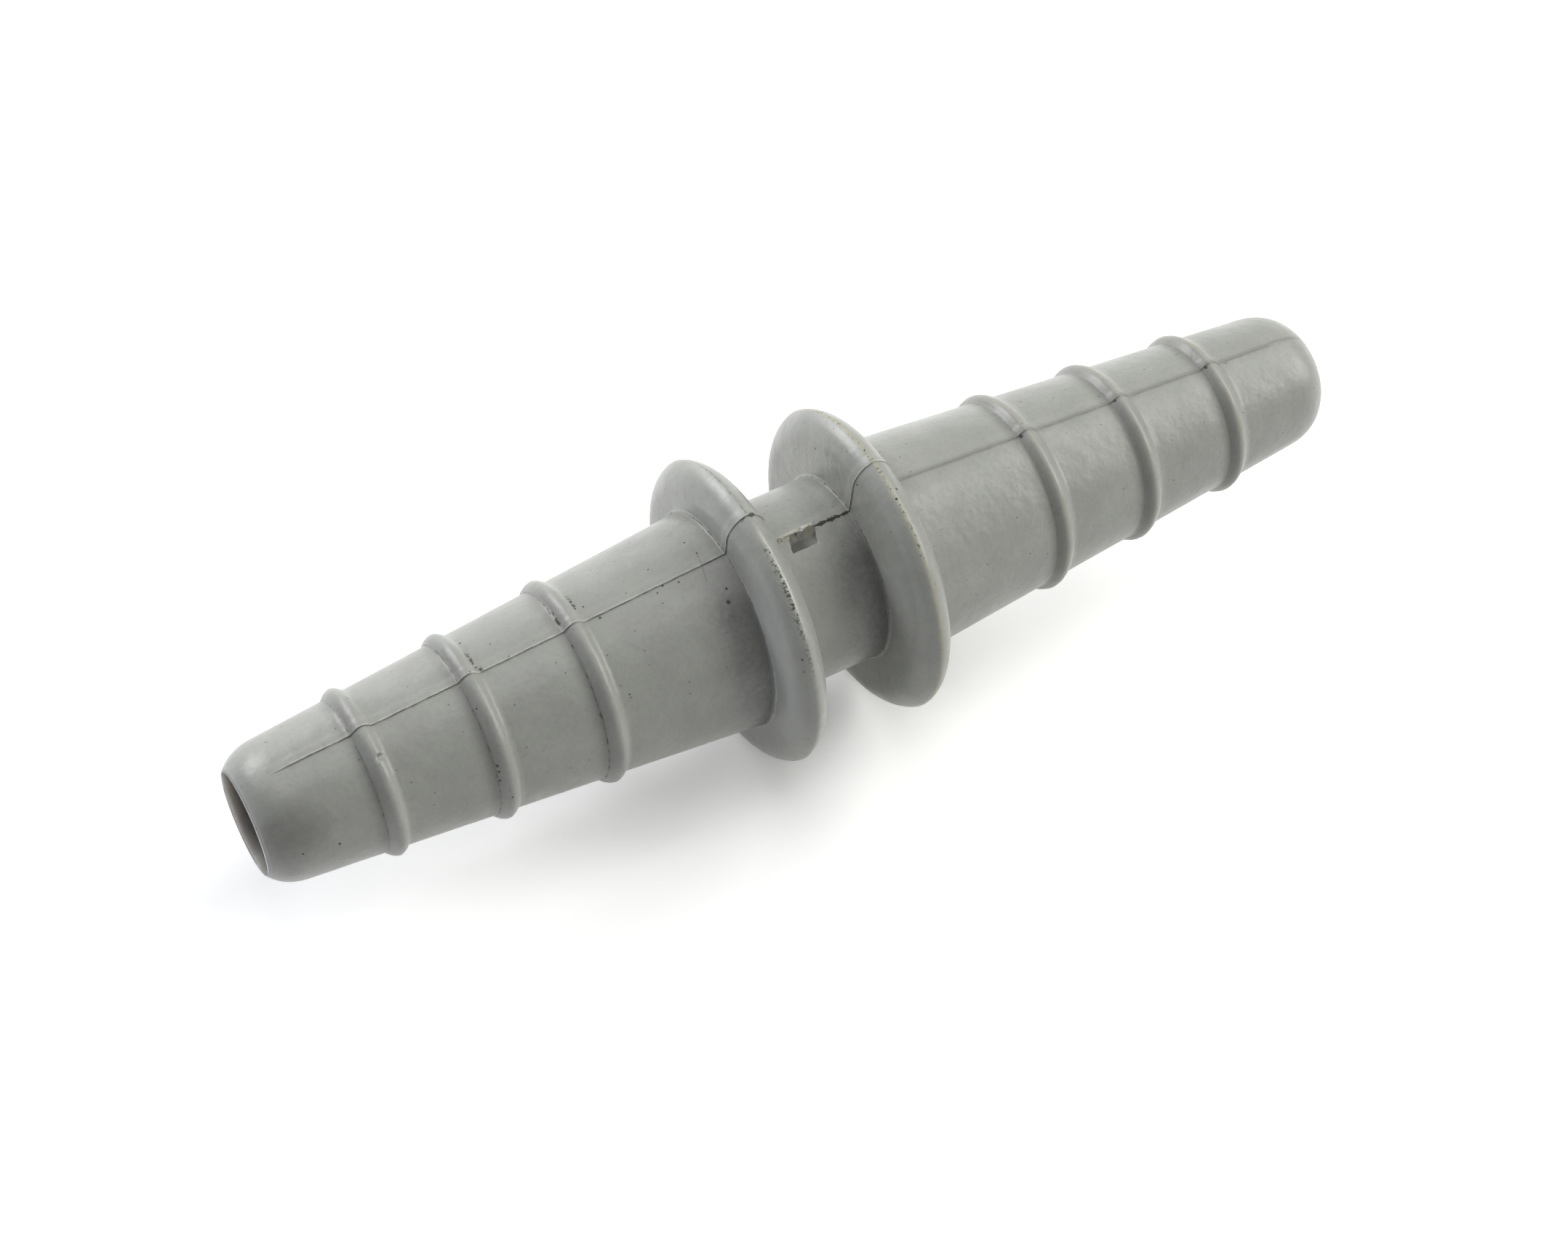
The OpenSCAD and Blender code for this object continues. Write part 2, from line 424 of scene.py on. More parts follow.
    # Flash that stands up in bumps along the near flange's crest, on the upper front side only
    near_crest = add(RANGE, {"Value": read["crest_mm"], "From Min": 0.30, "From Max": 0.05})
    near_flange = add(RANGE, {"Value": read["along"], "From Min": -4.5 * MM, "From Max": -4.6 * MM})
    high = add(RANGE, {"Value": read["radius"], "From Min": 13.0 * MM, "From Max": 13.1 * MM})
    starts = add(RANGE, {"Value": angle, "From Min": radians(6), "From Max": radians(18)})
    stops = add(RANGE, {"Value": angle, "From Min": radians(52), "From Max": radians(36)})
    bumps = add(NOISE, {"Vector": skin, "W": seed, "Scale": 1500.0, "Detail": 2.0}, noise_dimensions="4D")
    flash = add(RANGE, {"Value": bumps, "From Min": 0.42, "From Max": 0.60})
    for mask in (given["Crest flash"], near_crest, near_flange, high, starts, stops):
        flash = add(MATH, [flash, mask], operation="MULTIPLY")
    sink = add(MATH, [sink, flash], operation="ADD")

    sunk = add(VECTOR, [normal, None, None, sink], operation="SCALE")
    skin = add(VECTOR, [skin, sunk], operation="ADD")

    # The gate's pocket beside the land: a ragged outline, short walls and a flat floor
    rag = add(NOISE, {"Vector": skin, "W": seed, "Scale": 1900.0, "Detail": 2.0}, noise_dimensions="4D")
    rag = add(MATH, [rag, 0.5], operation="SUBTRACT")
    part = add("ShaderNodeSeparateXYZ", [skin]).outputs
    front_y = add(MATH, [part[1], -1.0], operation="MULTIPLY")
    off_land = add(MATH, [front_y, given["Land half"]], operation="SUBTRACT")
    leant = add(MATH, [off_land, 0.3, part[0]], operation="MULTIPLY_ADD")
    from_left = add(MATH, [leant, given["Gate from"]], operation="SUBTRACT")
    from_right = add(MATH, [given["Gate to"], leant], operation="SUBTRACT")
    from_low = add(MATH, [given["Gate width"], off_land], operation="SUBTRACT")
    sides = add(MATH, [from_left, from_right], operation="MINIMUM")
    ends = add(MATH, [off_land, from_low], operation="MINIMUM")
    inside = add(MATH, [sides, ends], operation="MINIMUM")
    edge = add(MATH, [rag, given["Gate ragged"], inside], operation="MULTIPLY_ADD")
    pocket = add(RANGE, {"Value": edge, "From Max": given["Gate wall"]}, interpolation_type="SMOOTHSTEP")
    on_top = add(MATH, [part[2], given["Gate floor"]], operation="GREATER_THAN")
    pocket = add(MATH, [pocket, on_top], operation="MULTIPLY")
    floor_z = add(MIX, {0: pocket, 2: part[2], 3: given["Gate floor"]}, data_type="FLOAT")

    # A torn lip stands along the pocket's edge at the land and runs on towards the near flange
    lip_from = add(MATH, [given["Gate from"], 1.1 * MM], operation="SUBTRACT")
    past_start = add(MATH, [part[0], lip_from], operation="SUBTRACT")
    lip_sides = add(MATH, [past_start, from_right], operation="MINIMUM")
    along_lip = add(RANGE, {"Value": lip_sides, "From Max": 0.25 * MM})
    off_edge = add(MATH, [off_land, -0.02 * MM], operation="SUBTRACT")
    off_edge = add(MATH, [off_edge], operation="ABSOLUTE")
    across_lip = add(RANGE, {"Value": off_edge, "From Min": 0.44 * MM, "From Max": 0.12 * MM})
    torn = add(RANGE, {"Value": rag, "From Min": -0.12, "From Max": 0.16})
    for mask in (along_lip, across_lip, on_top):
        torn = add(MATH, [torn, mask], operation="MULTIPLY")
    skin_z = add(MATH, [torn, given["Torn lip"], floor_z], operation="MULTIPLY_ADD")
    skin = add("ShaderNodeCombineXYZ", [part[0], part[1], skin_z])

    # How far, in millimetres, a point lies in front of the land's front edge
    plain_share = add(MATH, [read["across"], read["radius"]], operation="DIVIDE")
    plain_angle = add(MATH, [plain_share], operation="ARCSINE")
    plain_angle = add(MATH, [plain_angle, side_angle], operation="ADD")
    plain_sine = add(MATH, [plain_angle], operation="SINE")
    plain_y = add(MATH, [plain_sine, read["radius"]], operation="MULTIPLY")
    seam = add(MATH, [plain_y, given["Land half"]], operation="SUBTRACT")
    seam_mm = add(MATH, [seam, 1 / MM], operation="MULTIPLY")

    # Fields are read on the flat grid, so they are stored before the points move
    shape = grid
    found = {**read, "seam_mm": seam_mm, "gate_pocket": pocket, "torn_lip": torn, "flash": flash}
    for name in SKIN_VALUES:
        shape = add("GeometryNodeStoreNamedAttribute", {
            "Geometry": shape, "Name": name, "Value": found[name],
        }, data_type="FLOAT", domain="POINT")
    shape = add("GeometryNodeSetPosition", {"Geometry": shape, "Position": skin})
    shape = add("GeometryNodeMergeByDistance", {"Geometry": shape, "Distance": 1e-6})
    shape = add("GeometryNodeSetShadeSmooth", {"Geometry": shape, "Shade Smooth": True})
    shape = add("GeometryNodeRealizeInstances", {"Geometry": shape})
    add("NodeGroupOutput", [add("GeometryNodeSetMaterial", {"Geometry": shape, "Material": material})])
    return tree


def make_connector(material):
    """The connector's skin as one plain mesh."""
    rows = section_rows()
    columns, strip_half = round_columns()
    section = carrier("section carrier", ROW_VALUES, rows)
    around = carrier("round carrier", COLUMN_VALUES, columns)
    base = bpy.data.objects.new("connector base", bpy.data.meshes.new("connector base"))
    bpy.context.scene.collection.objects.link(base)
    sizes = {
        "Section": section, "Round": around, "Rows": len(rows), "Columns": len(columns),
        "Strip half": strip_half, "Land half": LAND_HALF * MM, "Land height": LAND_HEIGHT * MM,
        "Edge ramp": 0.08 * MM, "Edge wander": 0.10 * MM, "Wobble": 0.03 * MM, "Mouth wave": 0.12 * MM,
        "Gate from": GATE_FROM * MM, "Gate to": GATE_TO * MM, "Gate width": GATE_WIDTH * MM,
        "Gate floor": GATE_FLOOR * MM, "Gate wall": 0.22 * MM, "Gate ragged": 0.30 * MM,
        "Torn lip": 0.34 * MM, "Nick size": NICK_SIZE * MM, "Nick depth": NICK_DEPTH * MM,
        "Nick place": [v * MM for v in on_skin(NICK_PLACE, NICK_ANGLE)],
        "Crest flash": 0.10 * MM, "Seed": 4.0,
    }
    tree = surface_tree(material)
    growth = base.modifiers.new("moulded skin", "NODES")
    growth.node_group = tree
    for item in tree.interface.items_tree:
        if item.item_type == "SOCKET" and item.in_out == "INPUT":
            growth[item.identifier] = sizes[item.name]
    bpy.context.view_layer.update()
    evaluated = base.evaluated_get(bpy.context.evaluated_depsgraph_get())
    mesh = bpy.data.meshes.new_from_object(evaluated)
    piece = bpy.data.objects.new("moulded_connector", mesh)
    bpy.context.scene.collection.objects.link(piece)
    for helper in (base, section, around):
        bpy.data.objects.remove(helper)
    return piece


def skin_places(add):
    """What the material reads: places on the skin in millimetres, stored values and noises."""
    at = SimpleNamespace()
    metres = add("ShaderNodeTexCoord").outputs["Object"]
    at.spot = add(VECTOR, [metres, None, None, 1 / MM], operation="SCALE")
    at.along, across, at.up = add("ShaderNodeSeparateXYZ", [at.spot]).outputs
    front = add(MATH, [across, -1.0], operation="MULTIPLY")
    turned = add(MATH, [front, at.up], operation="ARCTAN2")
    at.angle = add(MATH, [turned], operation="DEGREES")
    at.from_middle = add(MATH, [at.along], operation="ABSOLUTE")
    at.upper = add(MATH, [at.up, 0.0], operation="GREATER_THAN")
    at.near_half = add(RANGE, {"Value": at.along, "From Min": 9.0, "From Max": 7.0})
    for name in SKIN_VALUES:
        setattr(at, name, add("ShaderNodeAttribute", attribute_name=name).outputs["Fac"])

    # Clouds a few millimetres wide; a spark finish about three times as coarse as the real one, so
    # that it shows; and three noises that break up the dirt, the painted shade and the painted highlights
    for name, scale, detail, roughness in (
        ("cloud", 0.28, 3.0, 0.5), ("grain", 2.6, 3.0, 0.5), ("broken", 0.9, 5.0, 0.65),
        ("dashes", 1.9, 3.0, 0.6), ("crumbs", 3.8, 3.0, 0.6),
    ):
        noise = {"Vector": at.spot, "Scale": scale, "Detail": detail, "Roughness": roughness}
        setattr(at, name, add(NOISE, noise))
    at.uneven = add(MATH, [at.dashes, 0.5], operation="SUBTRACT")
    return at


def parting_line(add, at):
    """Layers of the parting line, and the share of its dirt and painted shade.

    A thin dark line, partly dirt and partly painted shade under the land's step, runs along the land's
    front edge, with a painted highlight just behind it. It is thick and torn near the far flange,
    clotted over the near flange's crest, and on the far barb no more than a soft painted shade.
    """
    off = add(MATH, [at.seam_mm], operation="ABSOLUTE")
    past_nose = add(RANGE, {"Value": at.along, "From Min": -48.0, "From Max": -45.5})
    gaps = add(RANGE, {
        "Value": at.broken, "From Min": 0.38, "From Max": 0.56, "To Min": 0.25, "To Max": 0.85,
    })
    faint = add(RANGE, {"Value": at.along, "From Min": 4.3, "From Max": 3.9, "To Min": 0.45})
    # The dark line: partly dirt and partly painted shade under the land's step
    line = add(RANGE, {"Value": off, "From Min": 0.075, "From Max": 0.02, "To Max": 0.75})
    for mask in (at.upper, at.near_half, past_nose, gaps, faint):
        line = add(MATH, [line, mask], operation="MULTIPLY")

    by_flange = add(MATH, [at.along, *THICK_SEAM], operation="COMPARE")
    from_crest = add(MATH, [at.along, 5.65], operation="ADD")
    from_crest = add(MATH, [from_crest], operation="ABSOLUTE")
    over_crest = add(RANGE, {"Value": from_crest, "From Min": 0.95, "From Max": 0.45})
    for place, ragged, half in ((by_flange, -0.8, 0.16), (over_crest, -1.0, 0.17)):
        thick = add(MATH, [at.uneven, ragged, off], operation="MULTIPLY_ADD")
        thick = add(RANGE, {"Value": thick, "From Min": half, "From Max": 0.07, "To Max": 0.9})
        for mask in (at.upper, place):
            thick = add(MATH, [thick, mask], operation="MULTIPLY")
        line = add(MATH, [line, thick], operation="MAXIMUM")

    # A painted highlight just behind the dark line, broken into glints
    off_edge = add(MATH, [at.seam_mm, 0.10], operation="ADD")
    off_edge = add(MATH, [off_edge], operation="ABSOLUTE")
    edge = add(RANGE, {"Value": off_edge, "From Min": 0.09, "From Max": 0.02, "To Max": 0.65})
    glints = add(RANGE, {"Value": at.dashes, "From Min": 0.40, "From Max": 0.55, "To Min": 0.35})
    # A soft painted shade along the seam on the far barb
    far_half = add(MATH, [1.0, at.near_half], operation="SUBTRACT")
    soft = add(RANGE, {"Value": off_edge, "From Min": 0.34, "From Max": 0.0, "To Max": 0.42},
               interpolation_type="SMOOTHSTEP")
    return [
        (edge, (at.upper, at.near_half, past_nose, glints), "#d3d4cc"), (line, (), "#35332c"),
        (soft, (at.upper, far_half), "#6b6a63"),
    ], line


def corners(add, at):
    """Layers of the corners beside the rings and flanges, and the shares of their dirt and painted shade.

    A soft painted shade and a broken dark line, partly dirt and partly painted shade, lie mostly on the
    side of the near tip. The flange faces on that side are painted paler below their crests, in front,
    as painted light. Before each flange lies a wide painted shade, deepest low down in front, with a
    thin painted shade line at the corner itself.
    """
    side = add(RANGE, {"Value": at.foot_side, "To Min": 0.12})
    # Painted shade that fades out from each corner, mostly on the near-tip side
    painted_corner_shade = add(RANGE, {"Value": at.foot_mm, "From Min": 1.3, "From Max": 0.0, "To Max": 0.36},
               interpolation_type="SMOOTHSTEP")
    on_flange = add(MATH, [at.from_middle, FLANGE_MIDDLE, 1.72], operation="COMPARE")
    off_flange_faces = add(RANGE, {"Value": on_flange, "To Min": 1.0, "To Max": 0.2})
    # A broken dark line in each corner, partly dirt and partly painted shade
    corner = add(RANGE, {"Value": at.foot_mm, "From Min": 0.15, "From Max": 0.03})
    patches = add(RANGE, {
        "Value": at.dashes, "From Min": 0.50, "From Max": 0.64, "To Min": 0.22, "To Max": 0.9,
    })
    fainter_far_half = add(RANGE, {"Value": at.near_half, "To Min": 0.30})
    for mask in (patches, side, fainter_far_half):
        corner = add(MATH, [corner, mask], operation="MULTIPLY")
    layers = [(painted_corner_shade, (side, off_flange_faces), "#55544e"), (corner, (), "#302d27")]

    # Painted light: the flange faces on the near-tip side are painted paler and cooler in front
    for band, most in ((NEAR_FACE, 0.5), (FAR_FACE, 0.25)):
        painted_face_light = add(RANGE, {"Value": at.crest_mm, "From Min": 0.8, "From Max": 2.6, "To Max": most})
        face = add(MATH, [at.along, *band], operation="COMPARE")
        rises = add(RANGE, {"Value": at.angle, "From Min": 14.0, "From Max": 42.0})
        falls = add(RANGE, {"Value": at.angle, "From Min": 112.0, "From Max": 88.0})
        layers.append((painted_face_light, (face, rises, falls), "#c4c6c6"))

    # Painted shade before each flange, where the flange blocks the light, deepest low down in front
    at_barb = add(MATH, [at.along, *BEFORE_NEAR_FLANGE], operation="COMPARE")
    at_waist = add(MATH, [at.along, *BEFORE_FAR_FLANGE], operation="COMPARE")
    either = add(MATH, [at_barb, at_waist], operation="MAXIMUM")
    shade_reach = add(MATH, [at.uneven, 2.5, at.foot_mm], operation="MULTIPLY_ADD")
    shade = add(RANGE, {"Value": shade_reach, "From Min": 4.4, "From Max": 0.2, "To Max": 0.66},
                interpolation_type="SMOOTHSTEP")
    low = add(RANGE, {"Value": at.angle, "From Min": 6.0, "From Max": 32.0, "To Min": 0.1})
    # A thin painted shade line in the corner before each flange
    painted_crease_shade = add(RANGE, {"Value": at.foot_mm, "From Min": 0.16, "From Max": 0.04, "To Max": 0.25})
    painted_crease_shade = add(MATH, [painted_crease_shade, either], operation="MULTIPLY")
    layers += [(shade, (low, either), "#474547"), (painted_crease_shade, (), "#4b4a48")]
    return layers, corner, painted_crease_shade


def crests(add, at):
    """Layers of the crests of flanges and rings, and the share of their dirt.

    Behind the parting line both flange crests carry a narrow painted highlight strip, with a hairline of
    dirt beside it. In front, the near one has dark dashes beside pale flash and a pale band on the
    crest's far side, partly flash and partly painted highlight; the far one has a yellowish edge. Ring
    crests on the far barb carry a thin pale, slightly brownish painted highlight.
    """
    # A narrow painted highlight strip behind the parting line on both flange crests
    strip = add(RANGE, {"Value": at.crest_mm, "From Min": 1.15, "From Max": 0.35, "To Max": 0.32})
    near_strip = add(MATH, [at.along, *NEAR_SHINE], operation="COMPARE")
    far_strip = add(MATH, [at.along, *FAR_SHINE], operation="COMPARE")
    strips = add(MATH, [near_strip, far_strip], operation="MAXIMUM")
    behind = add(RANGE, {"Value": at.angle, "From Min": 2.5, "From Max": 0.0})
    fades = add(RANGE, {"Value": at.angle, "From Min": -42.0, "From Max": -26.0})
    patchy = add(RANGE, {"Value": at.broken, "From Min": 0.36, "From Max": 0.56, "To Min": 0.5})
    hair = add(RANGE, {"Value": at.crest_mm, "From Min": 0.16, "From Max": 0.05, "To Max": 0.7})
    strands = add(RANGE, {"Value": at.dashes, "From Min": 0.46, "From Max": 0.56})
    rims = add(MATH, [at.from_middle, FLANGE_MIDDLE, 0.6], operation="COMPARE")

    wide = add(RANGE, {"Value": at.crest_mm, "From Min": 0.45, "From Max": 0.15})
    tipward = add(MATH, [at.along, *CREST_SOIL], operation="COMPARE")
    inward = add(MATH, [at.along, *CREST_FLASH], operation="COMPARE")
    starts = add(RANGE, {"Value": at.angle, "From Min": 13.0, "From Max": 17.0})
    ends = add(RANGE, {"Value": at.angle, "From Min": 66.0, "From Max": 40.0, "To Min": 0.10})
    groups = add(RANGE, {"Value": at.broken, "From Min": 0.42, "From Max": 0.50, "To Min": 0.15})
    soil = add(RANGE, {"Value": at.crumbs, "From Min": 0.46, "From Max": 0.54, "To Max": 0.92})
    for mask in (wide, tipward, starts, ends, groups):
        soil = add(MATH, [soil, mask], operation="MULTIPLY")
    # A pale band on the near crest's far side, partly flash and partly painted highlight
    pale_flash_and_highlight = add(RANGE, {"Value": at.angle, "From Min": 5.0, "From Max": 12.0, "To Max": 0.8})
    ragged = add(RANGE, {"Value": at.broken, "From Min": 0.38, "From Max": 0.55, "To Min": 0.3})
    pale = add(RANGE, {"Value": at.flash, "From Max": 0.06 * MM, "To Max": 0.75})

    # A thin pale edge on the crests; on the far barb's rings it is a painted highlight
    crest = add(RANGE, {"Value": at.crest_mm, "From Min": 0.24, "From Max": 0.08})
    far_rim = add(MATH, [at.along, FLANGE_MIDDLE, 1.2], operation="COMPARE")
    dots = add(RANGE, {"Value": at.crumbs, "From Min": 0.56, "From Max": 0.61, "To Max": 0.85})
    high = add(RANGE, {"Value": at.angle, "From Min": 44.0, "From Max": 34.0, "To Min": 0.25})
    far_rings = add(MATH, [at.along, 9.0], operation="GREATER_THAN")
    return [
        (strip, (strips, behind, fades, patchy), "#dcded9"),
        (hair, (rims, behind, fades, strands), "#625e52"),
        (pale_flash_and_highlight, (wide, inward, ragged, ends), "#c6c6ba"), (pale, (), "#c9cac1"),
        (soil, (), "#34312a"), (crest, (far_rim, 0.8), "#bdb99f"),
        (dots, (crest, far_rim, high), "#453f35"), (crest, (far_rings, 0.40), "#bcb6a6"),
    ], soil


def single_marks(add, at):
    """Layers of the gate, the mouths, the near nose and two marks, and the share of the glow."""
    # The gate's floor is painted dark, partly grime and partly painted shade, darkest towards the near
    # flange, under a torn pale lip
    shaded = add(RANGE, {
        "Value": at.along, "From Min": -0.9, "From Max": -0.1, "To Min": 0.85, "To Max": 0.45,
    })
    torn = add(RANGE, {"Value": at.torn_lip, "From Min": 0.05, "From Max": 0.5, "To Max": 0.8})

    # Each mouth has a thin pale lip, and the hole's thin wall there lets some light through
    lip = add(RANGE, {
        "Value": at.from_middle, "From Min": HALF_LENGTH - 0.3, "From Max": HALF_LENGTH - 0.1,
        "To Max": 0.5,
    })
    outer = add(RANGE, {"Value": at.in_bore, "From Min": 0.6, "From Max": 0.1})
    glow = add(RANGE, {"Value": at.from_middle, "From Min": 30.0, "From Max": 46.0, "To Max": 0.9})
    glow = add(MATH, [glow, at.in_bore], operation="MULTIPLY")

    # The near nose is a little greyer low down in front, as painted shade, with a smudge
    nose = add(RANGE, {"Value": at.along, "From Min": -41.0, "From Max": -46.0, "To Max": 0.35})
    lower = add(RANGE, {"Value": at.angle, "From Min": 8.0, "From Max": 30.0})
    from_smudge = add(VECTOR, [at.spot, on_skin(*SMUDGE)], operation="DISTANCE").outputs["Value"]
    ragged = add(MATH, [at.broken, 3.2, from_smudge], operation="MULTIPLY_ADD")
    smudge = add(RANGE, {"Value": ragged, "From Min": 4.9, "From Max": 2.2, "To Max": 0.45})

    # A tool left a faint line across the seam beside the near flange, leaning along the hole
    from_line = add(MATH, [at.angle, LINE_LEAN, at.along], operation="MULTIPLY_ADD")
    from_line = add(MATH, [from_line, -LINE_PLACE], operation="ADD")
    from_line = add(MATH, [from_line], operation="ABSOLUTE")
    scratch = add(RANGE, {"Value": from_line, "From Min": 0.07, "From Max": 0.02, "To Max": 0.5})
    held = add(MATH, [at.angle, *LINE_ANGLES], operation="COMPARE")
    return [
        (at.gate_pocket, (shaded,), "#3b3933"), (torn, (), "#c0bcaa"), (lip, (outer,), "#b4b6b7"),
        (glow, (), "#82807e"), (nose, (lower,), "#8a8b86"), (smudge, (), "#52514d"),
        (scratch, (held,), "#5a5850"),
    ], glow


def crumbs_of_dirt(add, at):
    """Layers of single specks and packed rows of crumbs, and of a thin scatter of finer ones."""
    specks = 0.0
    for place, turned, size in SPECKS:
        away = add(VECTOR, [at.spot, on_skin(place, turned)], operation="DISTANCE").outputs["Value"]
        away = add(MATH, [at.uneven, size * 1.6, away], operation="MULTIPLY_ADD")
        dot = add(RANGE, {"Value": away, "From Min": size, "From Max": size * 0.4, "To Max": 0.9})
        specks = add(MATH, [dot, specks], operation="MAXIMUM")
    packed = 0.0
    for place, turned, spread in CRUMB_ROWS:
        along = add(MATH, [at.along, place - HALF_LENGTH, 0.45], operation="COMPARE")
        around = add(MATH, [at.angle, turned, spread], operation="COMPARE")
        both = add(MATH, [along, around], operation="MULTIPLY")
        packed = add(MATH, [both, packed], operation="MAXIMUM")
    near_corner = add(RANGE, {"Value": at.foot_mm, "From Min": 0.24, "From Max": 0.08})
    lumps = add(RANGE, {"Value": at.crumbs, "From Min": 0.44, "From Max": 0.54})
    for mask in (near_corner, lumps):
        packed = add(MATH, [packed, mask], operation="MULTIPLY")
    specks = add(MATH, [specks, packed], operation="MAXIMUM")
    cells = add("ShaderNodeTexVoronoi", {"Vector": at.spot, "Scale": 0.7}).outputs["Distance"]
    fine = add(RANGE, {"Value": cells, "From Min": 0.085, "From Max": 0.045, "To Max": 0.55})
    return [(specks, (), "#2b2923"), (fine, (), "#56534a")], specks


def moulded_plastic():
    """Nylon, injection moulded in a spark-finished mould, in satin grey.

    Such a skin gives wide soft highlights, faint clouds of tone and no grain. Handling has worked dirt
    into the seam and into the corners beside the rings and flanges; the colour also carries painted
    shade in those corners and under the seam's step, and painted highlights on edges and crests.
    """
    material = bpy.data.materials.new("satin moulded grey nylon")
    material.use_nodes = True
    tree = material.node_tree
    tree.nodes.clear()
    add = partial(add_node, tree)
    at = skin_places(add)

    # Layers of colour from the bottom up, each with its share, what masks it and its hex value
    clouds = add(RANGE, {"Value": at.cloud, "From Min": 0.35, "From Max": 0.65, "To Max": 0.55})
    grains = add(RANGE, {"Value": at.grain, "From Min": 0.45, "From Max": 0.75, "To Max": 0.30})
    seam_layers, line = parting_line(add, at)
    corner_layers, corner, painted_crease_shade = corners(add, at)
    crest_layers, soil = crests(add, at)
    mark_layers, glow = single_marks(add, at)
    speck_layers, specks = crumbs_of_dirt(add, at)
    colour = linear("#a8aaa3")
    for share, masks, hex_colour in (
        (clouds, (), "#999a95"), (grains, (), "#8d8e8b"), *seam_layers, *corner_layers,
        *crest_layers, *mark_layers, *speck_layers,
    ):
        for mask in masks:
            share = add(MATH, [share, mask], operation="MULTIPLY")
        colour = add(MIX, {0: share, 6: colour, 7: linear(hex_colour)}, data_type="RGBA").outputs[2]

    # Dirt and the painted shade lines are dull, and the satin skin varies a little
    dirt = specks
    for share in (line, corner, soil, painted_crease_shade):
        dirt = add(MATH, [dirt, share], operation="MAXIMUM")
    satin = add(RANGE, {
        "Value": at.cloud, "From Min": 0.3, "From Max": 0.7, "To Min": 0.32, "To Max": 0.39,
    })
    roughness = add(MIX, {0: dirt, 2: satin, 3: 0.8}, data_type="FLOAT")
    waves = add(NOISE, {"Vector": at.spot, "Scale": 0.75, "Detail": 2.0})
    height = add(MATH, [at.grain, 0.12, waves], operation="MULTIPLY_ADD")
    bump = add("ShaderNodeBump", {"Strength": 0.6, "Distance": 0.12 * MM, "Height": height})
    shader = add("ShaderNodeBsdfPrincipled", {
        "Base Color": colour, "Roughness": roughness, "IOR": 1.5, "Normal": bump,
        "Subsurface Weight": glow, "Subsurface Radius": (1.0, 0.95, 0.9), "Subsurface Scale": 2.5 * MM,
    })
    add("ShaderNodeOutputMaterial", [shader])
    return material


def softbox(name, elevation, azimuth, power, colour):
    """A round softbox that points at the part; angles in degrees, power in watts."""
    data = bpy.data.lights.new(name, "AREA")
    data.shape = "DISK"
    data.size = SOFTBOX_SIZE
    data.energy = power
    data.color = linear(colour)[:3]
    turned, raised = radians(azimuth), radians(elevation)
    place = Vector((cos(turned) * cos(raised), sin(turned) * cos(raised), sin(raised)))
    place *= SOFTBOX_DISTANCE
    lamp = bpy.data.objects.new(name, data)
    lamp.location = place
    lamp.rotation_euler = place.to_track_quat("Z", "Y").to_euler()
    bpy.context.scene.collection.objects.link(lamp)


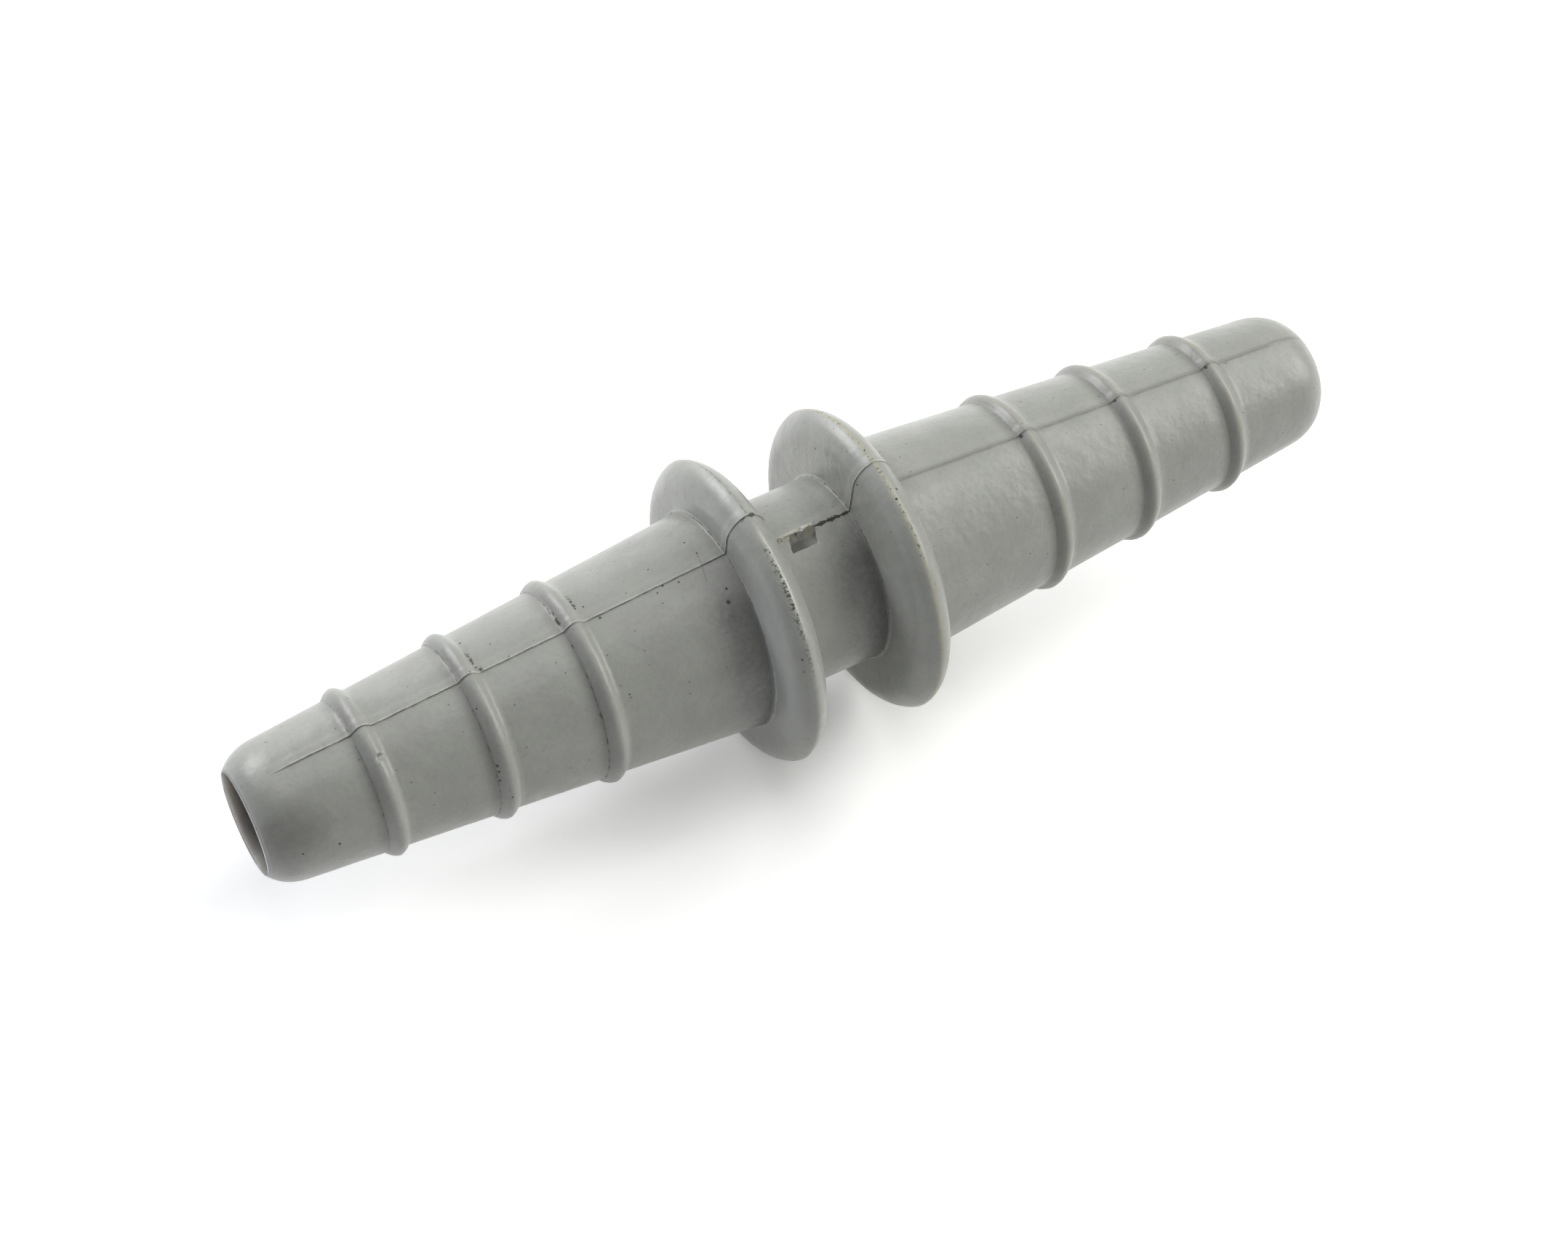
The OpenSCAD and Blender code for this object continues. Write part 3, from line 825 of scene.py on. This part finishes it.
def studio():
    """White floor that keeps the shadow, white surroundings and soft lamps.

    The strong lamps stand behind and to the right; weak ones stand above and low on the left.
    """
    half, low = FLOOR_HALF, CAD_BOX[0][2]
    mesh = bpy.data.meshes.new("floor")
    corner_places = [(-half, -half, low), (half, -half, low), (half, half, low), (-half, half, low)]
    mesh.from_pydata(corner_places, [], [(0, 1, 2, 3)])
    floor = bpy.data.objects.new("floor", mesh)
    bpy.context.scene.collection.objects.link(floor)
    paper = bpy.data.materials.new("white studio paper")
    world = bpy.data.worlds.new("surroundings")
    for owner, lit, shown in ((paper, 0.85, 1.70), (world, 0.08, 1.0)):
        owner.use_nodes = True
        tree = owner.node_tree
        tree.nodes.clear()
        add = partial(add_node, tree)
        ray = add("ShaderNodeLightPath").outputs
        seen = add(MATH, [ray["Is Camera Ray"], ray["Is Glossy Ray"]], operation="MAXIMUM")
        seen = add(MATH, [seen, ray["Is Transmission Ray"]], operation="MAXIMUM")
        level = add(MIX, {0: seen, 2: lit, 3: shown}, data_type="FLOAT")
        if owner == paper:
            white = add("ShaderNodeCombineColor", [level, level, level])
            add("ShaderNodeOutputMaterial", [add("ShaderNodeBsdfDiffuse", [white])])
        else:
            glow = add("ShaderNodeBackground", {"Color": linear("#ffffff"), "Strength": level})
            add("ShaderNodeOutputWorld", [glow])
    mesh.materials.append(paper)
    bpy.context.scene.world = world
    for name, elevation, azimuth, power, colour in (
        ("low back softbox", 12.6, 90.0, 1.0, "#ffffff"),
        ("back softbox", 28.0, 112.5, 5.4, "#fefeff"),
        ("left back softbox", 46.0, 135.0, 1.0, "#eef1ff"),
        ("top softbox", 88.0, 0.0, 1.1, "#ffffff"),
        ("low right softbox", 28.0, 337.5, 4.1, "#fffffb"),
        ("right softbox", 46.0, 0.0, 2.9, "#fffffb"),
        ("left softbox", 10.0, 180.0, 0.7, "#e6eaff"),
    ):
        softbox(name, elevation, azimuth, power, colour)


def camera():
    """Camera at the photograph's height and side, level, with the shift that its framing needs."""
    azimuth, elevation = radians(-27.6247), radians(55.9926)
    distance, right_mm, up_mm = 227.734, 19.126, 8.952
    back = Vector((sin(azimuth) * cos(elevation), -cos(azimuth) * cos(elevation), sin(elevation)))
    right = Vector((cos(azimuth), sin(azimuth), 0))
    up = back.cross(right)
    data = bpy.data.cameras.new("camera")
    data.lens = 63.019
    data.sensor_width = 36
    data.shift_x = 0.13915
    data.shift_y = 0.04174
    data.clip_start = 0.01
    data.clip_end = 20
    piece = bpy.data.objects.new("camera", data)
    piece.location = (back * distance - right * right_mm - up * up_mm) * MM
    piece.rotation_euler = (pi / 2 - elevation, 0, azimuth)
    bpy.context.scene.collection.objects.link(piece)
    bpy.context.scene.camera = piece


bpy.context.scene.view_settings.view_transform = "Standard"
camera()
studio()
connector = make_connector(moulded_plastic())
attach(connector, "root")
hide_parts("tube_connector")
